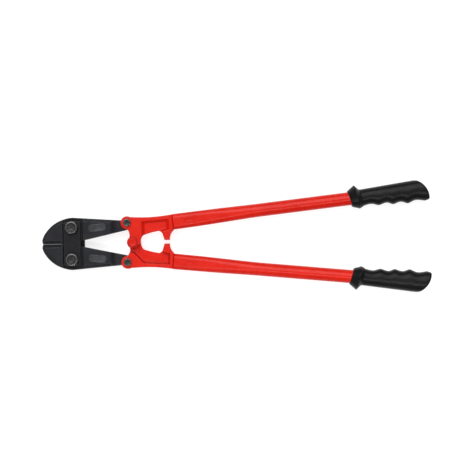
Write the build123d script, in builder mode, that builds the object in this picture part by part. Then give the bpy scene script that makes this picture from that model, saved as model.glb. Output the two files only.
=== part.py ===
"""Compound-action bolt cutters of the 600 mm class, lying flat.

+X runs from the jaws to the grips, +Y across the tool, +Z up out of the surface it lies on.
The origin is on that surface, under the middle of the tool. Plan sketches are measured from the
centre pivot, and heights from the middle plane that halves the tool's thickness. The lower
handle is the upper one turned over about the long axis, and the lower jaw mirrors the upper one.
"""
from build123d import *
from math import cos, radians, sin
import os

os.makedirs("parts", exist_ok=True)

# ---- places, mm, in plan from the centre pivot
pivot_x = -161.0                 # the centre pivot itself, along the tool
mid_height = 17.5                # the middle plane above the surface
jaw_pivot = (-94.0, 24.8)        # where a jaw turns between the side plates
link_pivot = (-8.3, 30.6)        # where a jaw's tail meets its handle
tube_front = (62.4, 31.9)        # where the tube's line leaves the forged head
grip_mouth = 276.8               # from there along the tube, to the grip's mouth
handle_slope = 5.94              # degrees from the long axis out to the tube

# ---- thicknesses, as heights from the middle plane
jaw_half = 9.0
web_half = 5.0
tongue_half = 4.75
head_half = 9.5
fork_half = 4.9
panel_front = 5.0                # the forged head's thin panel, between its two recesses
turning_gap = 0.1                # between flat faces that turn on each other
plate_inner, plate_outer = 5.15, 9.35

# ---- round sizes
jaw_shank, link_shank, centre_shank = 6.0, 3.5, 4.0
turning_fit = 0.06               # radial clearance of a turning hole
clamped_fit = 0.02               # radial clearance of a clamped hole
tongue_end, ear_radius, lug_radius = 8.6, 10.0, 9.0
fork_radius = 11.9
open_hole, open_hole_shift = 6.8, (-0.45, 0.3)
tube_radius, tube_wall = 10.3, 2.0
tube_in_grip = 108.0

edge_gap = 0.15                  # from a cutting edge to the long axis
nose_x, bite_end_x = -140.7, -111.4
plate_front_x, plate_rear_x = -106.4, -80.9
wide_plate_rear_x = -75.4        # the rear side plate reaches further back than the front one
band_front_x, band_rear_x = -107.9, -76.5    # the milled band that the front side plate lies in
wide_band_rear_x = -71.5         # and the end of the band for the rear one

tool = Plane(origin=(pivot_x, 0, mid_height))
long_axis = Axis((pivot_x, 0, mid_height), (1, 0, 0))
deep = 40.0                      # cuts right through


def level(height):
    return tool.offset(height)


def mirrored(spot):
    return (spot[0], -spot[1])


def turned_over(piece):
    """The same piece on the other half of the tool."""
    return piece.rotate(long_axis, 180)


def save(piece, name):
    piece.label = name
    export_step(piece, f"parts/{name}.step")


def ring(spot, radius, hole, low, high):
    with BuildPart() as washer:
        with BuildSketch(level(low)):
            with Locations(spot):
                Circle(radius)
                Circle(hole, mode=Mode.SUBTRACT)
        extrude(amount=high - low)
        chamfer(washer.edges().group_by(SortBy.LENGTH)[-1], length=0.3)
    return washer.part


def hex_bolt(spot, shank, flats, tip, seat, top):
    """A hexagon-head bolt standing head up, its tip chamfered."""
    with BuildPart() as bolt:
        with BuildSketch(level(tip)):
            with Locations(spot):
                Circle(shank)
        extrude(amount=seat - tip)
        chamfer(bolt.edges().group_by(Axis.Z)[0], length=0.7)
        with BuildSketch(level(seat)):
            with Locations(spot):
                RegularPolygon(flats / 2, 6, major_radius=False)
        extrude(amount=top - seat)
        chamfer(bolt.edges().group_by(Axis.Z)[-1], length=0.8)
    return bolt.part


def hex_nut(spot, shank, flats, low, high):
    with BuildPart() as nut:
        with BuildSketch(level(low)):
            with Locations(spot):
                RegularPolygon(flats / 2, 6, major_radius=False)
        extrude(amount=high - low)
        chamfer(nut.edges().group_by(Axis.Z)[0], length=0.6)
        with BuildSketch(level(low)):
            with Locations(spot):
                Circle(shank + clamped_fit)
        extrude(amount=high - low, mode=Mode.SUBTRACT)
    return nut.part


# ---- side plates, bolted across both jaws

def side_plate(low, rear_x):
    """A flat plate whose ends are curved like the jaws' outline."""
    with BuildPart() as plate:
        with BuildSketch(level(low)):
            with BuildLine():
                for side in (1, -1):
                    front = (plate_front_x, 32.2 * side)
                    rear = (rear_x, 33.8 * side)
                    ThreePointArc(front, (jaw_pivot[0], 34.6 * side), rear)
                Line((plate_front_x, -32.2), (plate_front_x, 32.2))
                Line((rear_x, -33.8), (rear_x, 33.8))
            make_face()
            with Locations(jaw_pivot, mirrored(jaw_pivot)):
                Circle(jaw_shank + clamped_fit, mode=Mode.SUBTRACT)
        extrude(amount=plate_outer - plate_inner)
        chamfer(plate.faces().sort_by(Axis.Z)[-1].outer_wire().edges(), length=0.6)
        chamfer(plate.faces().sort_by(Axis.Z)[0].outer_wire().edges(), length=0.6)
    return plate.part


save(side_plate(plate_inner, plate_rear_x), "front_side_plate")
save(side_plate(-plate_outer, wide_plate_rear_x), "rear_side_plate")

nut_foot = -mid_height           # the jaw nuts stand on the surface
washer_foot = -plate_outer - 2.0
for half, spot in (("upper", jaw_pivot), ("lower", mirrored(jaw_pivot))):
    save(hex_bolt(spot, jaw_shank, 18.5, nut_foot + 0.4, plate_outer, 16.4), f"{half}_jaw_bolt")
    save(ring(spot, 11.0, jaw_shank + clamped_fit, washer_foot, -plate_outer), f"{half}_jaw_washer")
    save(hex_nut(spot, jaw_shank, 18.5, nut_foot, washer_foot), f"{half}_jaw_nut")


# ---- jaws: a thick nose with the cutting edge, a thin band under the side plates, a thick arm
# ---- and a thin tongue that turns in the handle's fork

vee_start, vee_end = (-99.4, edge_gap), (-9.0, 19.7)
back_slope = (75.9, -5.8)        # the arm's straight back, which the nose's curve runs into
tongue_x = -30.0                 # where the arm steps down to the tongue

with BuildPart() as upper_jaw:
    with BuildSketch(level(-jaw_half)):
        with BuildLine():
            Line((nose_x + 0.9, edge_gap), (nose_x, 5.5))
            Spline((nose_x, 5.5), (-131.5, 22.1), (-119.0, 32.7), (-106.5, 38.1), (-92.0, 40.3),
                   tangents=((0.15, 1), back_slope))
            Line((-92.0, 40.3), (-16.1, 34.5))
            Line((-16.1, 34.5), link_pivot)
            Line(link_pivot, (-3.0, 23.8))
            Line((-3.0, 23.8), vee_end)
            Line(vee_end, vee_start)
            Line(vee_start, (nose_x + 0.9, edge_gap))
        make_face()
    extrude(amount=2 * jaw_half)
    back = [edge for edge in upper_jaw.edges().filter_by(GeomType.LINE)
            if edge.center().Y > 36 and edge.length > 60]
    chamfer(back, length=3.6)

    with BuildSketch(level(-tongue_half)):
        with Locations(link_pivot):
            Circle(tongue_end)
    extrude(amount=2 * tongue_half)

    for foot, height, rear_x in ((web_half, deep, band_rear_x),
                                 (-deep, deep - web_half, wide_band_rear_x)):
        with BuildSketch(level(foot)):
            with Locations(((band_front_x + rear_x) / 2, 20)):
                Rectangle(rear_x - band_front_x, 60)
        extrude(amount=height, mode=Mode.SUBTRACT)

    # the step down to the tongue is a short slope
    with BuildSketch(Plane(origin=(pivot_x, 60, mid_height), x_dir=(1, 0, 0), z_dir=(0, -1, 0))):
        for side in (1, -1):
            with BuildLine():
                Polyline((tongue_x - 2, jaw_half * side), (tongue_x + 1, tongue_half * side),
                         (20, tongue_half * side), (20, 12 * side), (tongue_x - 3, 12 * side),
                         (tongue_x - 2, jaw_half * side), close=True)
            make_face()
    extrude(amount=60, mode=Mode.SUBTRACT)

    # both sides of the nose are ground down to the cutting edge
    with BuildSketch(Plane(origin=(pivot_x - 145, 0, mid_height), x_dir=(0, 1, 0), z_dir=(1, 0, 0))):
        for side in (1, -1):
            with BuildLine():
                Polyline((-1, 0.4 * side), (edge_gap, 0.4 * side), (5.7, 9.3 * side),
                         (-1, 9.3 * side), close=True)
            make_face()
    extrude(amount=145 + bite_end_x, mode=Mode.SUBTRACT)

    with BuildSketch(level(-deep)):
        with Locations(jaw_pivot):
            Circle(jaw_shank + turning_fit)
        with Locations(link_pivot):
            Circle(link_shank + turning_fit)
    extrude(amount=2 * deep, mode=Mode.SUBTRACT)

save(upper_jaw.part, "upper_jaw")
save(mirror(upper_jaw.part, about=Plane.XZ), "lower_jaw")


# ---- tubes and what is measured along them

def across_tube(along, out=0.0, lean=0.0):
    """The plane across the upper tube, its x axis pointing out from the tool.

    A lean tips the outer side of the plane towards the jaws.
    """
    slope, tip = radians(handle_slope), radians(lean)
    ahead = Vector(cos(slope), sin(slope), 0)
    outward = Vector(-sin(slope), cos(slope), 0)
    middle = Vector(pivot_x + tube_front[0], tube_front[1], mid_height)
    return Plane(origin=middle + ahead * along + outward * out,
                 x_dir=outward * cos(tip) - ahead * sin(tip),
                 z_dir=ahead * cos(tip) + outward * sin(tip))


def tube_solid(wall, start, end):
    """The tube's outside, or with a wall its hollow: flattened over the head's tang, then round."""
    shapes = ((0, -1.2, 24.4, 13.9), (44, -0.9, 23.8, 14.3), (76, -0.5, 22.8, 17.4),
              (128, 0, 2 * tube_radius, 2 * tube_radius))
    with BuildPart() as body:
        for along, out, width, height in shapes:
            with BuildSketch(across_tube(along, out)):
                RectangleRounded(width - 2 * wall, height - 2 * wall, (height / 2 - wall) - 0.01)
        loft(ruled=True)
        with BuildSketch(across_tube(128)):
            Circle(tube_radius - wall)
        extrude(amount=end - 128)
        if start < 0:
            with BuildSketch(across_tube(0, -1.2)):
                RectangleRounded(24.4 - 2 * wall, 13.9 - 2 * wall, 6.95 - wall - 0.01)
            extrude(amount=start)
    return body.part


tube_end = grip_mouth + tube_in_grip
with BuildPart() as upper_tube:
    add(tube_solid(0, 0, tube_end))
    add(tube_solid(tube_wall, -1, tube_end + 1), mode=Mode.SUBTRACT)
    # the crimp marks, pressed into both flats
    for side in (1, -1):
        with BuildSketch(across_tube(24.5)):
            with Locations((0, side * 7.0)):
                RectangleRounded(3.2, 1.2, 0.5)
        extrude(amount=6, both=True, mode=Mode.SUBTRACT)

save(upper_tube.part, "upper_tube")
save(turned_over(upper_tube.part), "lower_tube")


# ---- forged handle heads: an ear forked for the jaw's tongue, a lug at the centre pivot, a stop
# ---- towards the other handle, and a tang that the tube is crimped onto

def handle_head(lug_hole, hole_shift):
    with BuildPart() as head:
        with BuildSketch(level(-head_half)):
            with BuildLine():
                ThreePointArc((-2.0, 39.4), (24.0, 38.6), (61.2, 42.2))
                Line((61.2, 42.2), (63.6, 18.0))
                ThreePointArc((63.6, 18.0), (59.0, 11.8), (57.1, 2.95))
                Line((57.1, 2.95), (49.1, 2.95))
                Line((49.1, 2.95), (46.6, 11.2))
                ThreePointArc((46.6, 11.2), (44.0, 15.4), (39.6, 16.9))
                ThreePointArc((39.6, 16.9), (27.5, 14.4), (16.5, 10.9))
                ThreePointArc((16.5, 10.9), (13.5, 7.0), (12.4, 2.0))
                Line((12.4, 2.0), (12.2, -3.0))
                Line((12.2, -3.0), (6.0, -5.5))
                Line((6.0, -5.5), (-5.2, 7.2))
                ThreePointArc((-5.2, 7.2), (-4.8, 13.0), (-7.8, 20.0))
                Line((-7.8, 20.0), link_pivot)
                Line(link_pivot, (-2.0, 39.4))
            make_face()
            Circle(lug_radius)
            with Locations(link_pivot):
                Circle(ear_radius)
        extrude(amount=2 * head_half)

        # the rear recess takes the other handle's lug as well
        with BuildSketch(level(-deep)):
            with BuildLine():
                Polyline((-14, 14.6), (-4.6, 15.9), (0.9, 16.5), (16.9, 32.8), (56.2, 35.4),
                         (57.0, 18.4), (47.4, 15.8), (40, 12), (14, 2), (12, -12), (-14, -12),
                         (-14, 14.6), close=True)
            make_face()
        extrude(amount=deep + turning_gap, mode=Mode.SUBTRACT)

        with BuildSketch(level(panel_front)):
            with BuildLine():
                Polyline((14.2, 4), (14.2, 32.6), (56.0, 35.4), (56.8, 18.4), (47.4, 15.8),
                         (40, 12), (14.2, 4), close=True)
            make_face()
        extrude(amount=deep, mode=Mode.SUBTRACT)

        # the fork for the jaw's tongue
        with BuildSketch(level(-fork_half)):
            with Locations(link_pivot):
                Circle(fork_radius)
        extrude(amount=2 * fork_half, mode=Mode.SUBTRACT)

        with BuildSketch(across_tube(-3, -1.2)):
            RectangleRounded(18.8, 9.2, 4)
        extrude(amount=45)

        with BuildSketch(level(-deep)):
            with Locations(link_pivot):
                Circle(link_shank + clamped_fit)
            with Locations(hole_shift):
                Circle(lug_hole)
        extrude(amount=2 * deep, mode=Mode.SUBTRACT)
    return head.part


save(handle_head(centre_shank + clamped_fit, (0, 0)), "upper_handle_head")
save(turned_over(handle_head(open_hole, open_hole_shift)), "lower_handle_head")

link_washer_foot = -head_half - 1.5
for half, spot in (("upper", link_pivot), ("lower", mirrored(link_pivot))):
    save(hex_bolt(spot, link_shank, 11, -16.3, head_half, 14.8), f"{half}_link_bolt")
    save(ring(spot, 7.4, link_shank + clamped_fit, link_washer_foot, -head_half), f"{half}_link_washer")
    save(hex_nut(spot, link_shank, 11, -16.6, link_washer_foot), f"{half}_link_nut")

centre = (0, 0)
centre_washer_top = -head_half - turning_gap
centre_washer_foot = centre_washer_top - 1.6
save(hex_bolt(centre, centre_shank, 13, -16.5, head_half, 14.2), "centre_bolt")
save(ring(centre, 9.4, centre_shank + clamped_fit, centre_washer_foot, centre_washer_top),
     "centre_washer")
save(hex_nut(centre, centre_shank, 13, -16.8, centre_washer_foot), "centre_nut")


# ---- grips: a leaning collar, three finger crests on the inner side, a slanted rounded end

finger_side = ((33, -12.3), (45, -15.6), (57, -13.5), (67, -16.9), (78.5, -14.8), (90, -18.3),
               (102, -15.0), (118, -17.6), (127, -17.8))

with BuildPart() as upper_grip:
    with BuildSketch(across_tube(grip_mouth - 0.1, -0.9, 12.0)):
        Ellipse(12.4, 12.2)
    with BuildSketch(across_tube(grip_mouth + 11.7, 0.8, 11.6)):
        Ellipse(18.6, 17.4)
    with BuildSketch(across_tube(grip_mouth + 17.2, -1.7, 5.2)):
        Ellipse(13.8, 12.9)
    loft(ruled=True)

    with BuildSketch(across_tube(grip_mouth + 17.2, -1.7, 5.2)):
        Ellipse(13.8, 12.9)
    for along, inner in finger_side:
        outer = 12.0 + 0.044 * (along - 16)
        with BuildSketch(across_tube(grip_mouth + along, (outer + inner) / 2)):
            Ellipse((outer - inner) / 2, 12.7 + 0.008 * along)
    loft(ruled=True)

    # the end, rounded in plan
    along_tube = across_tube(grip_mouth)
    plan = Plane(origin=along_tube.origin, x_dir=along_tube.z_dir, z_dir=(0, 0, 1))
    with BuildSketch(plan.offset(-deep)):
        with BuildLine():
            Polyline((104.5, 16.0), (104.5, 40), (-30, 40), (-30, -40), (119.5, -40), (119.5, -18))
            ThreePointArc((119.5, -18), (123.4, -16.4), (123.5, -12.5))
            ThreePointArc((123.5, -12.5), (117.6, 4.6), (104.5, 16.0))
        make_face()
    extrude(amount=2 * deep, mode=Mode.INTERSECT)

    with BuildSketch(across_tube(grip_mouth - 6)):
        Circle(tube_radius + clamped_fit)
    extrude(amount=6 + tube_in_grip + 0.2, mode=Mode.SUBTRACT)

save(upper_grip.part, "upper_grip")
save(turned_over(upper_grip.part), "lower_grip")
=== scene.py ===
"""Looks of the bolt cutters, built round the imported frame.

Shapes are worked out in millimetres, in plan from the centre pivot and in height from the middle
plane, and become metres in the frame when their mesh is made. A forging, grip or fastener is a
distance field, negative inside, and its mesh is the field's zero surface. The lower handle is the
upper one turned over about the long axis; the lower jaw is the upper one mirrored across it.
"""
import bpy
import numpy as np
from itertools import product
from math import cos, pi, radians, sin, sqrt, tan
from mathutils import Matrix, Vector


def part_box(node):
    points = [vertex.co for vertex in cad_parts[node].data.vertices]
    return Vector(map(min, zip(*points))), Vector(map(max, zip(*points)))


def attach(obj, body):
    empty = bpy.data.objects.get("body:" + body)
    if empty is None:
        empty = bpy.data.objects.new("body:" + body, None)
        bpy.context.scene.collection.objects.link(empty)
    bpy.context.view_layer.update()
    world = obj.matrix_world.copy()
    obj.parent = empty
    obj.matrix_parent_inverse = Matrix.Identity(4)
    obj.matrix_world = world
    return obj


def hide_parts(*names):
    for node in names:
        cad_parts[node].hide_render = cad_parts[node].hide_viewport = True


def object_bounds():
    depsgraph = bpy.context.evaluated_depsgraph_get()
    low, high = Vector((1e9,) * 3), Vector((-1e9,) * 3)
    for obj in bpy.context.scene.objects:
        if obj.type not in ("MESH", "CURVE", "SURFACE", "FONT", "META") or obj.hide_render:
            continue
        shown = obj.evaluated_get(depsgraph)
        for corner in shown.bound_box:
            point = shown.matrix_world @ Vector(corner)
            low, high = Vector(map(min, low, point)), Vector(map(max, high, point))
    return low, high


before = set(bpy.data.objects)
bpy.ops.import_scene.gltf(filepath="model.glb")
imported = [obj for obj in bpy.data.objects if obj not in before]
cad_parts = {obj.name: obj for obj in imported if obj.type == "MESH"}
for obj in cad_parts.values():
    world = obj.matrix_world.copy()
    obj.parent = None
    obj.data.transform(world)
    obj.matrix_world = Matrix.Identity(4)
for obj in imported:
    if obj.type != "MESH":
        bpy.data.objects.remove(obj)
cad_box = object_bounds()


# ================================================================ places, from the frame

def corners(node):
    low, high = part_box(node)
    return 1000 * np.array(low), 1000 * np.array(high)


def middle(node):
    low, high = corners(node)
    return (low + high) / 2


origin = np.array([*middle("centre_bolt")[:2], middle("upper_jaw")[2]])


def spot(node):
    return tuple((middle(node) - origin)[:2])


jaw_pivot = spot("upper_jaw_bolt")
link_pivot = spot("upper_link_bolt")
flash_rise = 0.25                                   # the forging's parting ridge
nose_x = corners("upper_jaw")[0][0] - origin[0] + flash_rise
jaw_half, web_half, tongue_half, tongue_end = 9.0, 5.0, 4.75, 8.6
head_half, fork_half, fork_radius, panel_front = 9.5, 4.9, 11.9, 5.0
ear_radius, lug_radius = 10.0, 9.0
band_front_x, band_rear_x = -107.9, {1: -76.5, -1: -71.5}    # the milled band under each side plate
bite_end_x = -111.4
tube_front, handle_slope = (62.4, 31.9), radians(5.94)
grip_mouth, tube_in_grip, tube_wall = 276.8, 108.0, 2.0
jaw_shank, link_shank, centre_shank = 6.0, 3.5, 4.0
turning_fit, clamped_fit = 0.06, 0.02               # radial clearances
open_hole, open_hole_shift = 6.8, (-0.45, 0.3)      # the lower head's oversize pivot hole


# ================================================================ curves and distance fields

def arc(start, through, end, count=14):
    """Points on the circle through three points, from start to end."""
    (ax, ay), (bx, by), (cx, cy) = start, through, end
    d = 2 * (ax * (by - cy) + bx * (cy - ay) + cx * (ay - by))
    a2, b2, c2 = ax * ax + ay * ay, bx * bx + by * by, cx * cx + cy * cy
    mx = (a2 * (by - cy) + b2 * (cy - ay) + c2 * (ay - by)) / d
    my = (a2 * (cx - bx) + b2 * (ax - cx) + c2 * (bx - ax)) / d
    first, mid, last = (np.arctan2(y - my, x - mx) for x, y in (start, through, end))
    sweep = (last - first) % (2 * pi)
    if (mid - first) % (2 * pi) > sweep:
        sweep -= 2 * pi
    turns = first + sweep * np.linspace(0, 1, count)
    radius = sqrt((ax - mx) ** 2 + (ay - my) ** 2)
    return [(mx + radius * cos(t), my + radius * sin(t)) for t in turns]


def flowing(points, first_way, last_way, count=8):
    """Points on a smooth curve through the given ones, with its end directions."""
    p = np.array(points, float)
    steps = np.linalg.norm(np.diff(p, axis=0), axis=1)
    ways = np.zeros_like(p)
    for i in range(1, len(p) - 1):
        a, b = steps[i - 1], steps[i]
        ways[i] = ((p[i] - p[i - 1]) / a * b + (p[i + 1] - p[i]) / b * a) / (a + b)
    ways[0], ways[-1] = (np.array(w) / np.linalg.norm(w) for w in (first_way, last_way))
    out = []
    for i, length in enumerate(steps):
        for t in np.linspace(0, 1, count, endpoint=False):
            out.append((1 + 2 * t) * (1 - t) ** 2 * p[i] + t * (1 - t) ** 2 * length * ways[i]
                       + t * t * (3 - 2 * t) * p[i + 1] - t * t * (1 - t) * length * ways[i + 1])
    return [tuple(q) for q in out] + [tuple(p[-1])]


def outline(points, x, y):
    """Distance to a closed outline in plan, negative inside."""
    nearest = np.full(np.broadcast(x, y).shape, 1e9)
    inside = np.zeros(nearest.shape, bool)
    for (ax, ay), (bx, by) in zip(points, points[1:] + points[:1]):
        dx, dy = bx - ax, by - ay
        if dx == dy == 0:
            continue
        t = np.clip(((x - ax) * dx + (y - ay) * dy) / (dx * dx + dy * dy), 0, 1)
        nearest = np.minimum(nearest, (x - ax - t * dx) ** 2 + (y - ay - t * dy) ** 2)
        if dy:
            inside ^= ((ay > y) != (by > y)) & (x < ax + (y - ay) * dx / dy)
    return np.where(inside, -1, 1) * np.sqrt(nearest)


def disc(centre, radius, x, y):
    return np.hypot(x - centre[0], y - centre[1]) - radius


def both(a, b, edge):
    """What two fields share, the edge between them rounded."""
    return np.minimum(np.maximum(a, b), -edge) + np.hypot(np.maximum(a + edge, 0),
                                                          np.maximum(b + edge, 0))


def either(a, b, fillet):
    return np.maximum(np.minimum(a, b), fillet) - np.hypot(np.maximum(fillet - a, 0),
                                                           np.maximum(fillet - b, 0))


def without(a, b, edge):
    return both(a, -b, edge)


def flash(height, rise=flash_rise, reach=0.8):
    """The low ridge that a parting line leaves round a forging or a moulding."""
    return rise * np.exp(-(height / reach) ** 2)


# ================================================================ meshes

def surface(field, low, high, step):
    """Points, quads and bend (1/mm, positive on an outer edge) of a field's zero surface."""
    low, high = np.array(low, float), np.array(high, float)
    count = np.ceil((high - low) / step).astype(int) + 1
    axes = [low[i] + step * np.arange(count[i]) for i in range(3)]
    values = np.broadcast_to(field(axes[0][:, None, None], axes[1][None, :, None],
                                   axes[2][None, None, :]), tuple(count))
    solid = values < 0
    full = sum(solid[a:count[0] - 1 + a, b:count[1] - 1 + b, c:count[2] - 1 + c].astype(np.int8)
               for a, b, c in product((0, 1), repeat=3))
    cells = np.argwhere((full > 0) & (full < 8))
    number = np.full(full.shape, -1)
    number[tuple(cells.T)] = np.arange(len(cells))

    place, hits = np.zeros((len(cells), 3)), np.zeros(len(cells))
    for axis in range(3):
        for corner in product((0, 1), repeat=3):
            if corner[axis]:
                continue
            far = list(corner)
            far[axis] = 1
            a, b = (values[tuple((cells + c).T)] for c in (corner, far))
            crossed = (a < 0) != (b < 0)
            share = np.where(crossed, a / np.where(crossed, a - b, 1), 0)
            point = np.tile(np.array(corner, float), (len(cells), 1))
            point[:, axis] = share
            place += crossed[:, None] * point
            hits += crossed
    points = low + step * (cells + place / hits[:, None])

    quads = []
    for axis in range(3):
        u, v = (axis + 1) % 3, (axis + 2) % 3
        near = np.take(solid, range(count[axis] - 1), axis)
        change = near != np.take(solid, range(1, count[axis]), axis)
        edges = np.argwhere(change)
        ring = []
        for du, dv in ((1, 1), (0, 1), (0, 0), (1, 0)):
            cell = edges.copy()
            cell[:, u] -= du
            cell[:, v] -= dv
            ring.append(number[tuple(cell.T)])
        ring = np.stack(ring, 1)
        ring[~near[change]] = ring[~near[change]][:, ::-1]
        quads.append(ring)

    # settle the points on the true surface, then read how sharply it bends there
    tiny = 0.02
    for _ in range(3):
        here = field(*points.T)
        slope = np.stack([field(*(points + tiny * e).T) - here for e in np.eye(3)], 1) / tiny
        move = slope * (here / np.maximum((slope ** 2).sum(1), 0.05))[:, None]
        length = np.linalg.norm(move, axis=1)
        points -= move * np.minimum(1, 0.5 * step / np.maximum(length, 1e-9))[:, None]
    reach = 0.35
    bend = sum(field(*(points + s * reach * e).T) for e in np.eye(3) for s in (1, -1))
    bend = (bend - 6 * field(*points.T)) / reach ** 2
    return points, np.concatenate(quads), bend


AS_MADE, TURNED, MIRRORED = (1, 1, 1), (1, -1, -1), (1, -1, 1)


def piece(name, points, faces, bend, body, nodes, looks, half=AS_MADE,
          look_of=None):
    """One visible piece, standing for CAD nodes.

    half says how it lies: AS_MADE, TURNED over about the long axis, or MIRRORED across it.
    look_of gives each face's material index.
    """
    place = points * np.array(half)
    if half == MIRRORED:
        faces = faces[:, ::-1]
    mesh = bpy.data.meshes.new(name)
    mesh.from_pydata(((place + origin) / 1000).tolist(), [], faces.tolist())
    mesh.polygons.foreach_set("use_smooth", np.ones(len(mesh.polygons), bool))
    layer = mesh.attributes.new("bend", "FLOAT", "POINT")
    layer.data.foreach_set("value", np.clip(bend, -2, 2).astype(np.float32))
    for look in looks:
        mesh.materials.append(look)
    if look_of is not None:
        mesh.polygons.foreach_set("material_index", look_of.astype(np.int32))
    mesh.update()
    made = bpy.data.objects.new(name, mesh)
    bpy.context.scene.collection.objects.link(made)
    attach(made, body)
    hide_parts(*nodes)


# ================================================================ materials

class Look:
    """A material of procedural nodes round one Principled shader."""

    def __init__(self, name, **sockets):
        self.material = bpy.data.materials.new(name)
        self.material.use_nodes = True
        self.tree = self.material.node_tree
        self.shader = self.tree.nodes["Principled BSDF"]
        for socket, value in sockets.items():
            self.shader.inputs[socket.replace("_", " ")].default_value = value
        self.place = self.add("ShaderNodeTexCoord").outputs["Object"]
        self.bend = self.add("ShaderNodeAttribute", attribute_name="bend").outputs["Fac"]
        self.last_bump = None

    def add(self, kind, inputs=None, **settings):
        node = self.tree.nodes.new(kind)
        for key, value in settings.items():
            setattr(node, key, value)
        for key, value in (inputs or {}).items():
            if isinstance(value, bpy.types.NodeSocket):
                self.tree.links.new(value, node.inputs[key])
            else:
                node.inputs[key].default_value = value
        return node

    def noise(self, size, detail=3.0, roughness=0.5, stretch=(1, 1, 1)):
        """Noise from 0 to 1 whose features are about size millimetres across."""
        scale = [1000 / size / s for s in stretch]
        place = self.add("ShaderNodeMapping", {"Vector": self.place, "Scale": scale})
        noise = self.add("ShaderNodeTexNoise", {"Vector": place.outputs[0], "Scale": 1.0,
                                                "Detail": detail, "Roughness": roughness})
        return noise.outputs[0]

    def cells(self, size):
        """Distance from the middle of the nearest of cells of about size millimetres."""
        return self.add("ShaderNodeTexVoronoi",
                        {"Vector": self.place, "Scale": 1000 / size}).outputs["Distance"]

    def between(self, value, low, high, start=0.0, end=1.0):
        return self.add("ShaderNodeMapRange", {"Value": value, "From Min": low, "From Max": high,
                                               "To Min": start, "To Max": end}).outputs[0]

    def maths(self, operation, a, b):
        return self.add("ShaderNodeMath", {0: a, 1: b}, operation=operation).outputs[0]

    def mix(self, share, a, b):
        node = self.add("ShaderNodeMix", {"Factor": share}, data_type="RGBA")
        for key, value in ((6, a), (7, b)):
            if isinstance(value, bpy.types.NodeSocket):
                self.tree.links.new(value, node.inputs[key])
            else:
                node.inputs[key].default_value = (*value, 1)
        return node.outputs[2]

    def bump(self, height, depth):
        """Adds relief, depth in millimetres for a height from 0 to 1."""
        inputs = {"Height": height, "Distance": depth / 1000, "Strength": 1.0}
        if self.last_bump is not None:
            inputs["Normal"] = self.last_bump
        self.last_bump = self.add("ShaderNodeBump", inputs).outputs[0]

    def finish(self, colour, roughness, metallic=None):
        for socket, value in (("Base Color", colour), ("Roughness", roughness),
                              ("Metallic", metallic), ("Normal", self.last_bump)):
            if value is not None:
                self.tree.links.new(value, self.shader.inputs[socket])
        return self.material


def enamel(name, lumps, chip):
    """Glossy red enamel: slight orange peel, thin at edges, painted shade darkening the corners."""
    look = Look(name, Coat_Weight=0.07, Coat_Roughness=0.06, Specular_IOR_Level=0.12)
    broad = look.noise(34, 3)
    colour = look.mix(look.between(broad, 0.35, 0.65),
                      (0.545, 0.0100, 0.0038), (0.600, 0.0145, 0.0060))
    uneven = look.between(look.noise(5, 4), 0.3, 0.7, -0.25, 0.25)
    thin = look.between(look.maths("ADD", look.bend, uneven), 0.35, 1.3)
    colour = look.mix(look.maths("MULTIPLY", thin, 0.35), colour, (0.42, 0.006, 0.004))
    # painted shade: concave corners and hollows are darkened in the colour itself
    corner_shade = look.between(look.bend, -0.15, -0.8, 0, 0.55)
    colour = look.mix(corner_shade, colour, (0.34, 0.004, 0.003))
    specks = look.between(look.cells(4.2), 0.05, 0.03, 0, 0.22)
    colour = look.mix(specks, colour, (0.30, 0.006, 0.005))
    ragged = look.between(look.noise(1.6, 5, 0.7), 0.3, 0.75, -1.3, 0.35)
    worn = look.between(look.maths("ADD", look.bend, ragged), chip, chip + 0.12)
    colour = look.mix(worn, colour, (0.30, 0.075, 0.06))
    rough = look.between(look.noise(9, 4), 0.3, 0.7, 0.22, 0.34)
    look.bump(look.noise(lumps, 2), 0.10)
    look.bump(look.noise(1.9, 2), 0.018)
    look.bump(worn, -0.05)
    return look.finish(colour, rough)


def forged_steel(name, dark, light, rough, edge_shine=0.6):
    """Black oxide over a shot-blasted forging, rubbed brighter along the edges."""
    look = Look(name, Specular_IOR_Level=0.11)
    patches = look.between(look.noise(16, 4, 0.6), 0.33, 0.68)
    colour = look.mix(patches, dark, light)
    grain = look.noise(0.9, 3, 0.65)
    colour = look.mix(look.between(grain, 0.52, 0.72, 0, 0.45), colour, [1.9 * c for c in light])
    rub = look.maths("ADD", look.bend, look.between(look.noise(2.6, 5, 0.7), 0.3, 0.7, -0.55, 0.25))
    rub = look.between(rub, 0.45, 1.25, 0, edge_shine)
    colour = look.mix(rub, colour, (0.10, 0.104, 0.112))
    rust = look.between(look.noise(7, 5, 0.7), 0.66, 0.76, 0, 0.35)
    colour = look.mix(rust, colour, (0.035, 0.022, 0.017))
    roughness = look.between(look.noise(6, 4), 0.3, 0.7, rough - 0.07, rough + 0.08)
    roughness = look.maths("SUBTRACT", roughness, look.maths("MULTIPLY", rub, 0.14))
    look.bump(look.noise(5.5, 3), 0.10)
    look.bump(grain, 0.05)
    look.bump(look.between(look.cells(1.5), 0.0, 0.45), 0.02)
    return look.finish(colour, roughness, look.between(rub, 0, 0.6, 0.05, 0.8))


def ground_steel(name, dark, light, metallic, shine):
    """The cutting bevels: ground across, then blackened thinly."""
    look = Look(name, Specular_IOR_Level=0.5)
    lines = look.noise(0.35, 4, 0.6, stretch=(0.5, 9, 9))
    colour = look.mix(look.between(lines, 0.3, 0.7), dark, light)
    edge = look.between(look.bend, 0.3, 1.2, 0, 0.75)
    colour = look.mix(edge, colour, shine)
    look.bump(lines, 0.025)
    return look.finish(colour, look.between(lines, 0.2, 0.8, 0.24, 0.42),
                       look.between(edge, 0, 1, metallic, 0.8))


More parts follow.
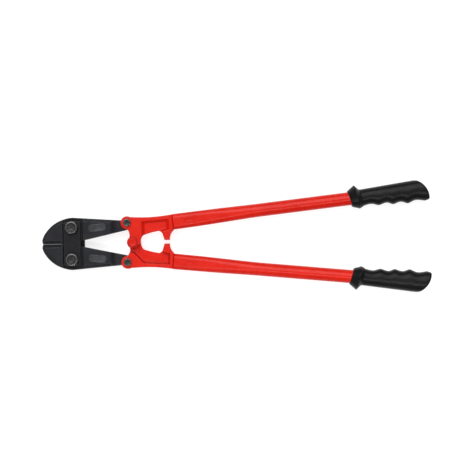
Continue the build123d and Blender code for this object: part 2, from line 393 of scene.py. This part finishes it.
def machined(name, dark, light, rough, edge, metallic):
    """Blackened fasteners and plates: turning marks, bright wrench-rubbed edges; on the bolts these
    bright edges are also a painted glint.
    """
    look = Look(name, Specular_IOR_Level=0.12)
    patches = look.between(look.noise(4.5, 4, 0.6), 0.32, 0.68)
    colour = look.mix(patches, dark, light)
    rub = look.maths("ADD", look.bend, look.between(look.noise(1.8, 5, 0.7), 0.3, 0.7, -0.6, 0.3))
    rub = look.between(rub, 0.4, 1.5, 0, edge)
    colour = look.mix(rub, colour, (0.22, 0.216, 0.21))
    fine = look.noise(0.6, 4, 0.6, stretch=(5, 1, 1))
    roughness = look.between(look.noise(3.5, 4), 0.3, 0.7, rough - 0.06, rough + 0.10)
    look.bump(fine, 0.016)
    look.bump(look.noise(2.4, 3), 0.03)
    return look.finish(colour, roughness, look.between(rub, 0, 1, metallic, 1.0))


def rubber(name):
    """Moulded grip rubber: fine leathery grain, polished crests, a little dust in the corners."""
    look = Look(name, Specular_IOR_Level=0.11)
    patches = look.between(look.noise(22, 3), 0.3, 0.7)
    colour = look.mix(patches, (0.0052, 0.0052, 0.0056), (0.0080, 0.0080, 0.0086))
    settled = look.between(look.noise(3, 5, 0.7), 0.35, 0.7)
    dust = look.between(look.maths("SUBTRACT", settled, look.bend), 0.75, 1.6, 0, 0.5)
    colour = look.mix(dust, colour, (0.045, 0.044, 0.042))
    grain = look.between(look.cells(0.85), 0.05, 0.55)
    polish = look.between(look.bend, 0.10, 0.5, 0, 0.14)
    roughness = look.maths("SUBTRACT", look.between(look.noise(8, 4), 0.3, 0.7, 0.26, 0.38), polish)
    look.bump(look.noise(11, 2), 0.12)
    look.bump(grain, 0.035)
    look.bump(look.noise(0.45, 2), 0.012)
    return look.finish(colour, roughness)


paint_cast = enamel("red_enamel_forging", 6.5, 1.45)
paint_tube = enamel("red_enamel_tube", 14, 1.3)
paint_bolt = enamel("red_enamel_bolt", 3.5, 1.5)
jaw_black = forged_steel("black_forged_steel",
                         (0.0105, 0.0108, 0.0130), (0.0172, 0.0177, 0.0210), 0.40)
jaw_ground = ground_steel("ground_bevel_steel", (0.013, 0.0135, 0.0155), (0.030, 0.031, 0.034), 0.1,
                          (0.020, 0.0205, 0.0225))
jaw_honed = ground_steel("honed_edge_steel", (0.060, 0.061, 0.064), (0.11, 0.111, 0.115), 0.3,
                         (0.20, 0.203, 0.21))
# the milled band's steel is painted near-black as the shade in the gap beside each side plate
jaw_band_shade = machined("milled_band_painted_shade",
                      (0.0030, 0.0031, 0.0036), (0.0050, 0.0051, 0.0058), 0.42, 0.1, 0)
jaw_pad = forged_steel("rubbed_pad_steel", (0.026, 0.0265, 0.029), (0.060, 0.061, 0.065), 0.36)
plate_black = machined("black_plate_steel",
                       (0.0060, 0.0059, 0.0072), (0.0098, 0.0096, 0.0112), 0.38, 0.20, 0.0)
# the bolts' bright edges are part wrench wear, part painted glint
bolt_black = machined("black_fastener_steel",
                      (0.010, 0.010, 0.0106), (0.026, 0.026, 0.027), 0.24, 0.45, 0.5)
grip_black = rubber("grip_rubber_black")


# ================================================================ jaws

vee_start, vee_end = (-99.4, 0.15), (-9.0, 19.7)
back_end = (-16.1, 34.5)
nose_curve = flowing([(nose_x, 5.5), (-131.5, 22.1), (-119.0, 32.7), (-106.5, 38.1), (-92.0, 40.3)],
                     (0.15, 1), (75.9, -5.8))
jaw_edge = ([(nose_x + 0.9, 0.15)] + nose_curve
            + [back_end, link_pivot, (-3.0, 23.8), vee_end, vee_start])
jaw_back = nose_curve + [back_end, (40, 30.2), (40, -80), (nose_x - 2, -80)]
pad_ends = ((-63.0, 23.2), (-46.5, 24.9))
bevel_foot, bevel_top = (0.15, 0.4), (5.7, 9.3)       # the ground bevel's line, as (y, height)


def stadium(ends, radius, x, y):
    (ax, ay), (bx, by) = ends
    dx, dy = bx - ax, by - ay
    t = np.clip(((x - ax) * dx + (y - ay) * dy) / (dx * dx + dy * dy), 0, 1)
    return np.hypot(x - ax - t * dx, y - ay - t * dy) - radius


def past_bevel(y, up):
    """Distance past the ground bevel's plane, positive where steel is ground away."""
    dy, dh = bevel_top[0] - bevel_foot[0], bevel_top[1] - bevel_foot[1]
    return ((up - bevel_foot[1]) * dy - (y - bevel_foot[0]) * dh) / sqrt(dy * dy + dh * dh)


def jaw(x, y, h):
    up = np.abs(h)
    plan = either(outline(jaw_edge, x, y), disc(link_pivot, tongue_end, x, y), 2.0) - flash(h)
    steel = both(plan, up - jaw_half, 1.0)
    steel = both(steel, (outline(jaw_back, x, y) + up - jaw_half + 3.6) / sqrt(2), 1.6)
    # the step down to the tongue
    steel = both(steel, 0.05 - y, 0.1)
    slope = ((up - jaw_half) * 6 + (x + 34) * 4.25) / sqrt(6 ** 2 + 4.25 ** 2)
    steel = both(steel, either(slope, up - tongue_half, 2.0), 1.2)
    # a blank oval pad on the arm
    oval = stadium(pad_ends, 4.6, x, y)
    rim = both(np.abs(oval) - 0.95, up - jaw_half - 0.5, 0.45)
    steel = either(steel, rim, 0.5)
    for face, rear_x in band_rear_x.items():
        band = both(np.abs(x - (band_front_x + rear_x) / 2) - (rear_x - band_front_x) / 2,
                    web_half - face * h, 0.9)
        steel = without(steel, band, 0.45)
    steel = without(steel, both(-past_bevel(y, up), x - bite_end_x, 0.5), 0.2)
    for centre, shank in ((jaw_pivot, jaw_shank), (link_pivot, link_shank)):
        steel = without(steel, disc(centre, shank + turning_fit, x, y), 0.35)
    return steel


points, faces, bend = surface(jaw, (nose_x - 1.5, -1.5, -10.6), (2.5, 42.3, 10.6), 0.52)
# each face's look: forged, ground, honed, milled band painted dark as shade, or rubbed, as listed in
# the pieces below
mid_x, mid_y, mid_h = points[faces].mean(1).T
on_bite = mid_x < bite_end_x + 0.1
face_looks = ((np.abs(past_bevel(mid_y, np.abs(mid_h))) < 0.08) & on_bite).astype(int)
face_looks[(mid_y < 0.95) & on_bite] = 2
# the milled band's faces take the painted shade
for face, rear_x in band_rear_x.items():
    in_band = (mid_x > band_front_x) & (mid_x < rear_x)
    face_looks[in_band & (np.abs(face * mid_h - web_half) < 0.4)] = 3
on_pad = stadium(pad_ends, 5.6, mid_x, mid_y) < 0
face_looks[on_pad & (np.abs(mid_h) > jaw_half - 0.3)] = 4
for side, half in (("upper", AS_MADE), ("lower", MIRRORED)):
    piece(f"{side}_jaw_forging", points, faces, bend, f"{side}_jaw_arm",
          [f"{side}_jaw"], [jaw_black, jaw_ground, jaw_honed, jaw_band_shade, jaw_pad], half, face_looks)


# ================================================================ side plates

plate_low, plate_high = 5.15, 9.35
plate_front_x = -106.4


def side_plate(rear_x):
    edge = (arc((plate_front_x, 32.2), (jaw_pivot[0], 34.6), (rear_x, 33.8))
            + arc((rear_x, -33.8), (jaw_pivot[0], -34.6), (plate_front_x, -32.2)))

    def field(x, y, h):
        steel = both(outline(edge, x, y), np.abs(h - (plate_low + plate_high) / 2)
                     - (plate_high - plate_low) / 2, 0.6)
        for side in (1, -1):
            hole = disc((jaw_pivot[0], side * jaw_pivot[1]), jaw_shank + clamped_fit, x, y)
            steel = without(steel, hole, 0.3)
        return steel
    return field


for side, rear_x, half in (("front", -80.9, AS_MADE), ("rear", -75.4, TURNED)):
    points, faces, bend = surface(side_plate(rear_x), (plate_front_x - 1, -36, 4.4),
                                  (rear_x + 1, 36, 10.1), 0.45)
    piece(f"{side}_plate_steel", points, faces, bend, "head_links",
          [f"{side}_side_plate"], [plate_black], half)


# ================================================================ forged handle heads

def across_tube(x, y):
    """Plan coordinates along the upper tube and out from it."""
    dx, dy = x - tube_front[0], y - tube_front[1]
    return (dx * cos(handle_slope) + dy * sin(handle_slope),
            dy * cos(handle_slope) - dx * sin(handle_slope))


head_edge = (arc((-2.0, 39.4), (24.0, 38.6), (61.2, 42.2))
             + arc((63.6, 18.0), (59.0, 11.8), (57.1, 2.95))
             + [(49.1, 2.95)] + arc((46.6, 11.2), (44.0, 15.4), (39.6, 16.9))
             + arc((39.6, 16.9), (27.5, 14.4), (16.5, 10.9))[1:]
             + arc((16.5, 10.9), (13.5, 7.0), (12.4, 2.0))[1:] + [(12.2, -3.0), (6.0, -5.5)]
             + arc((-5.2, 7.2), (-4.8, 13.0), (-7.8, 20.0)) + [link_pivot])
rear_recess = [(-14, 14.6), (-4.6, 15.9), (0.9, 16.5), (16.9, 32.8), (56.2, 35.4), (57.0, 18.4),
               (47.4, 15.8), (40, 12), (18, 0), (16, -14), (-14, -14)]
front_recess = [(14.2, 4), (14.2, 32.6), (56.0, 35.4), (56.8, 18.4), (47.4, 15.8), (40, 12)]


def handle_head(hole, shift):
    def field(x, y, h):
        plan = either(outline(head_edge, x, y), disc((0, 0), lug_radius, x, y), 1.0)
        plan = either(plan, disc(link_pivot, ear_radius, x, y), 1.0) - flash(h)
        steel = both(plan, np.abs(h) - head_half, 1.5)
        # recess walls lean out towards the face; the shallow front recess has the longer slope
        wall = (outline(rear_recess, x, y) + 0.14 * (head_half + h)) * 0.99
        steel = without(steel, both(wall, h - 0.1, 1.6), 0.8)
        wall = (outline(front_recess, x, y) + 0.85 * (head_half - h)) * 0.76
        steel = without(steel, both(wall, panel_front - h, 1.0), 0.6)
        fork = both(disc(link_pivot, fork_radius, x, y), np.abs(h) - fork_half, 1.0)
        steel = without(steel, fork, 0.6)
        along, out = across_tube(x, y)
        tang = both(np.abs(out + 1.2) - 9.4, np.abs(h) - 4.6, 3.8)
        tang = both(tang, np.abs(along - 19.5) - 22.5, 1.0)
        steel = either(steel, tang, 0.6)
        steel = without(steel, disc(link_pivot, link_shank + clamped_fit, x, y), 0.3)
        return without(steel, disc(shift, hole, x, y), 0.3)
    return field


for side, half, hole, shift in (("upper", AS_MADE, centre_shank + clamped_fit, (0, 0)),
                                ("lower", TURNED, open_hole, open_hole_shift)):
    points, faces, bend = surface(handle_head(hole, shift), (-20, -10.5, -11), (106, 45, 11), 0.5)
    piece(f"{side}_head_forging", points, faces, bend, f"{side}_handle",
          [f"{side}_handle_head"], [paint_cast], half)


# ================================================================ tubes

tube_length = grip_mouth + tube_in_grip
tube_shapes = np.array([(0, -1.2, 24.4, 13.9), (44, -0.9, 23.8, 14.3), (76, -0.5, 22.8, 17.4),
                        (128, 0, 20.6, 20.6), (tube_length, 0, 20.6, 20.6)])
rays = 96
turn = 2 * pi * (np.arange(rays) + 0.5) / rays


def tube_ring(along, inset):
    """A ring of points round the tube: two flats joined by half rounds, further on a circle."""
    near = along + np.linspace(-9, 9, 19)          # eases the steps between the shapes
    out, width, height = (np.interp(near, tube_shapes[:, 0], tube_shapes[:, i]).mean()
                          for i in (1, 2, 3))
    radius = height / 2 - inset
    flat = max(width - height, 0) / 2
    c, s = np.abs(np.cos(turn)), np.abs(np.sin(turn))
    length = radius / np.maximum(s, 1e-9)
    rounded = flat * c + np.sqrt(np.maximum(radius ** 2 - (flat * s) ** 2, 0))
    length = np.where(length * c <= flat, length, rounded)
    across, up = length * np.cos(turn), length * np.sin(turn)
    # a crimp mark pressed into each flat
    mark = np.hypot(np.maximum(abs(along - 24.5) - 4.6, 0), np.maximum(np.abs(across) - 0.3, 0))
    press = np.clip((1.5 - mark) / 0.7, 0, 1)
    press = press * press * (3 - 2 * press) if inset < 1 else 0 * press
    up = up - np.sign(up) * 1.5 * press
    return along, out + across, up


lip = 0.9
stations = [lip * (1 - cos(a)) for a in np.linspace(0, pi / 2, 5)] \
    + list(np.arange(1.6, 16, 1.0)) + list(np.arange(16, 33, 0.5)) \
    + list(np.arange(33.5, 132, 1.6)) \
    + list(np.linspace(133, tube_length, 64))
rings = [tube_ring(u, lip - sqrt(max(lip ** 2 - max(lip - u, 0) ** 2, 0))) for u in stations]
rings += [tube_ring(u, tube_wall) for u in stations[::-1] if u >= lip * 0.5 or u == 0]
points = []
for along, out, up in rings:
    points.append(np.stack([tube_front[0] + along * cos(handle_slope) - out * sin(handle_slope),
                            tube_front[1] + along * sin(handle_slope) + out * cos(handle_slope),
                            up], 1))
points = np.concatenate(points)
row, column = np.meshgrid(np.arange(len(rings)), np.arange(rays), indexing="ij")
next_row, next_column = (row + 1) % len(rings), (column + 1) % rays
faces = np.stack([row * rays + column, row * rays + next_column, next_row * rays + next_column,
                  next_row * rays + column], -1).reshape(-1, 4)
for side, half in (("upper", AS_MADE), ("lower", TURNED)):
    piece(f"{side}_tube_shell", points, faces, np.zeros(len(points)), f"{side}_handle",
          [f"{side}_tube"], [paint_tube], half)


# ================================================================ grips

finger_side = ((14.0, -15.0), (31.5, -12.2), (44.5, -15.7), (56.3, -13.3), (66.5, -17.0),
               (78.0, -14.7), (89.5, -18.4), (102.5, -14.9), (118.0, -17.7), (140.0, -18.5))
finger_table = []
for (u0, v0), (u1, v1) in zip(finger_side, finger_side[1:]):
    for t in np.linspace(0, 1, 24, endpoint=False):
        ease = 0.5 - 0.5 * cos(pi * t)
        ease = ease ** 0.8 if v0 < v1 else 1 - (1 - ease) ** 0.8
        finger_table.append((u0 + (u1 - u0) * t, v0 + (v1 - v0) * ease))
finger_table = np.array(finger_table)
grip_end = ([(98, 40), (104.3, 17.5)] + arc((107.2, 16.2), (117.3, 5.4), (123.2, -9.5))
            + arc((123.5, -12.5), (123.4, -16.4), (119.8, -18.4))
            + [(119.5, -40), (-30, -40), (-30, 40)])


def leaning(u, v, at, centre, lean):
    """Distance along the grip past a plane whose outer side leans towards the jaws."""
    return (u - at + (v - centre) * tan(lean)) * cos(lean)


def grip(u, v, h):
    inner = np.interp(u, finger_table[:, 0], finger_table[:, 1])
    outer = 12.0 + 0.044 * (u - 16)
    half = (outer - inner) / 2
    deep = 12.7 + 0.008 * u
    side = np.abs(v - (outer + inner) / 2) / half
    body = ((side ** 2.2 + (np.abs(h) / deep) ** 2.2) ** (1 / 2.2) - 1) * 12.7
    body = both(body, 11 - u, 1.0)
    # the collar: a cone opening from the mouth to a sharp leaning ridge, and one closing again
    opening = leaning(u, v, -0.1, -0.9, radians(12))
    closing = -leaning(u, v, 17.4, -1.7, radians(5.2))
    middle_v = (-0.9 + 1.7 * np.clip(opening / 12, 0, 1)
                - 2.5 * np.clip((6 - closing) / 6, 0, 1) * (u > 8))
    around = np.hypot(v - middle_v, 1.045 * h)
    front = (around - 12.3 - 0.51 * opening) * 0.89
    rear = (around - 13.4 - 0.86 * closing) * 0.76
    collar = both(both(front, rear, 0.5), -opening, 0.9)
    collar = both(collar, -closing - 1.5, 1.0)
    rubber_form = either(body, collar, 1.6) - flash(h, 0.18, 0.5)
    # moulded gate mark, on one face only
    mark = np.hypot(u - 55.3, v + 3.2)
    rubber_form = either(rubber_form, both(mark - 1.2, np.abs(h - 12.6) - 1.0, 0.4), 0.4)
    rubber_form = both(rubber_form, outline(grip_end, u, v), 3.2)
    bore = both(np.hypot(v, h) - 10.32, u - tube_in_grip - 0.2, 0.3)
    return without(rubber_form, bore, 0.5)


points, faces, bend = surface(grip, (-6, -21, -20), (125.5, 22, 20), 0.62)
along, out = points[:, 0] + grip_mouth, points[:, 1].copy()
points[:, 0] = tube_front[0] + along * cos(handle_slope) - out * sin(handle_slope)
points[:, 1] = tube_front[1] + along * sin(handle_slope) + out * cos(handle_slope)
for side, half in (("upper", AS_MADE), ("lower", TURNED)):
    piece(f"{side}_grip_moulding", points, faces, bend, f"{side}_handle",
          [f"{side}_grip"], [grip_black], half)


# ================================================================ fasteners, each from its CAD box

def hexagon(x, y, flats, twist):
    return np.max([np.abs(x * cos(a + twist) + y * sin(a + twist))
                   for a in (pi / 6, pi / 2, 5 * pi / 6)], axis=0) - flats / 2


def corner_cone(radius, h, face, flats, way):
    """The cone that trims a hexagon's corners towards one face."""
    return (way * (h - face) + (radius - 0.465 * flats) * tan(pi / 6)) * cos(pi / 6)


def fastener(node, body, look, field, step=0.36):
    low, high = corners(node)
    centre = (low + high) / 2 - origin
    half = (high - low) / 2
    bottom, top = centre[2] - half[2], centre[2] + half[2]
    points, faces, bend = surface(lambda x, y, h: field(x, y, h, bottom, top, half),
                                  (-half[0] - 1, -half[0] - 1, bottom - 1),
                                  (half[0] + 1, half[0] + 1, top + 1), step)
    points[:, :2] += centre[:2]
    piece(f"{node}_turned", points, faces, bend, body, [node], [look])


def bolt(shank, seat, twist):
    def field(x, y, h, low, high, half):
        radius, flats = np.hypot(x, y), 2 * half[1]
        head = both(hexagon(x, y, flats, twist), corner_cone(radius, h, high, flats, 1), 0.3)
        head = both(both(head, h - high, 0.3), seat - h, 0.25)
        dish = np.sqrt(radius ** 2 + (h - high - 3.2 * flats) ** 2) - 3.2 * flats - 0.28
        head = without(head, dish, 0.3)
        stem = both(radius - shank, (low - h + radius - shank + 0.7) / sqrt(2), 0.3)
        stem = both(both(stem, low - h, 0.3), h - seat - 1, 0.3)
        return np.minimum(head, stem)
    return field


def nut(hole, twist):
    def field(x, y, h, low, high, half):
        radius, flats = np.hypot(x, y), 2 * half[1]
        body = both(hexagon(x, y, flats, twist), corner_cone(radius, h, low, flats, -1), 0.3)
        body = both(both(body, low - h, 0.3), h - high, 0.2)
        mouth = (radius - hole - 0.8 - low + h) / sqrt(2)
        return without(body, np.minimum(radius - hole, mouth), 0.2)
    return field


def washer(hole):
    def field(x, y, h, low, high, half):
        radius = np.hypot(x, y)
        body = both(both(radius - half[0], low - h, 0.35), h - high, 0.35)
        return without(body, radius - hole, 0.2)
    return field


for side, twist in (("upper", 0.21), ("lower", -0.13)):
    for joint, body, shank, seat, bolt_twist, nut_twist in (
            ("jaw", "head_links", jaw_shank, plate_high, twist, -twist),
            ("link", f"{side}_handle", link_shank, head_half, 2 * twist, 1.3 * twist)):
        name, bore = f"{side}_{joint}", shank + clamped_fit
        for part, field in (("bolt", bolt(shank, seat, bolt_twist)), ("washer", washer(bore)),
                            ("nut", nut(bore, nut_twist))):
            fastener(f"{name}_{part}", body, bolt_black, field)
bore = centre_shank + clamped_fit
fastener("centre_bolt", "upper_handle", paint_bolt, bolt(centre_shank, head_half, 0.34))
fastener("centre_washer", "upper_handle", bolt_black, washer(bore))
fastener("centre_nut", "upper_handle", bolt_black, nut(bore, -0.3))


# ================================================================ stage, light and camera

def flat_sheet(name, half, height):
    mesh = bpy.data.meshes.new(name)
    mesh.from_pydata([(-half, -half, height), (half, -half, height), (half, half, height),
                      (-half, half, height)], [], [(0, 1, 2, 3)])
    made = bpy.data.objects.new(name, mesh)
    bpy.context.scene.collection.objects.link(made)
    return made


floor = flat_sheet("floor", 6.0, 0.0)
# the paper glows a little, as a light table does, so that the tool throws only a faint shadow
paper = Look("pale_paper", Specular_IOR_Level=0.1,
             Emission_Color=(1, 1, 1, 1), Emission_Strength=0.75)
floor.data.materials.append(paper.finish(
    paper.mix(paper.noise(60, 2), (0.38, 0.38, 0.38), (0.40, 0.40, 0.40)),
    paper.between(paper.noise(25), 0, 1, 0.9, 1)))

view_centre = (np.array(cad_box[0]) + np.array(cad_box[1])) / 2


def sun(name, azimuth, elevation, spread, strength):
    """A soft far light; azimuth in degrees from +X, elevation above the floor."""
    data = bpy.data.lights.new(name, "SUN")
    data.angle, data.energy = radians(spread), strength
    lamp = bpy.data.objects.new(name, data)
    lamp.rotation_euler = (0, radians(90 - elevation), radians(azimuth))
    bpy.context.scene.collection.objects.link(lamp)


def strip(name, place, size, power):
    """A long narrow light over the tool, tipped to face its long axis."""
    data = bpy.data.lights.new(name, "AREA")
    data.shape, data.size, data.size_y, data.energy = "RECTANGLE", size[0], size[1], power
    lamp = bpy.data.objects.new(name, data)
    lamp.location = place
    lamp.rotation_euler = (np.arctan2(place[1], place[2]), 0, 0)
    bpy.context.scene.collection.objects.link(lamp)


sun("broad_light", 98, 58, 50, 2.55)
sun("fill_light", -122, 38, 16, 0.55)
strip("strip_light", (0.05, -0.62, 1.45), (1.5, 0.05), 16)

world = bpy.data.worlds.new("studio")
world.use_nodes = True
world.node_tree.nodes["Background"].inputs["Color"].default_value = (1, 1, 1, 1)
world.node_tree.nodes["Background"].inputs["Strength"].default_value = 0.19
bpy.context.scene.world = world
bpy.context.scene.view_settings.view_transform = "Standard"

lens = bpy.data.cameras.new("camera")
camera_away = 2.0
lens.sensor_width, lens.lens = 36, 49.31 * camera_away
camera = bpy.data.objects.new("camera", lens)
camera.rotation_euler = (radians(1.6), radians(-0.38), radians(-1.31))
bpy.context.scene.collection.objects.link(camera)
bpy.context.scene.camera = camera
aim = np.array([view_centre[0] - 0.0025, view_centre[1] + 0.0081, 0.0175])
back = np.array(camera.rotation_euler.to_matrix())[:, 2]
camera.location = aim + camera_away * back
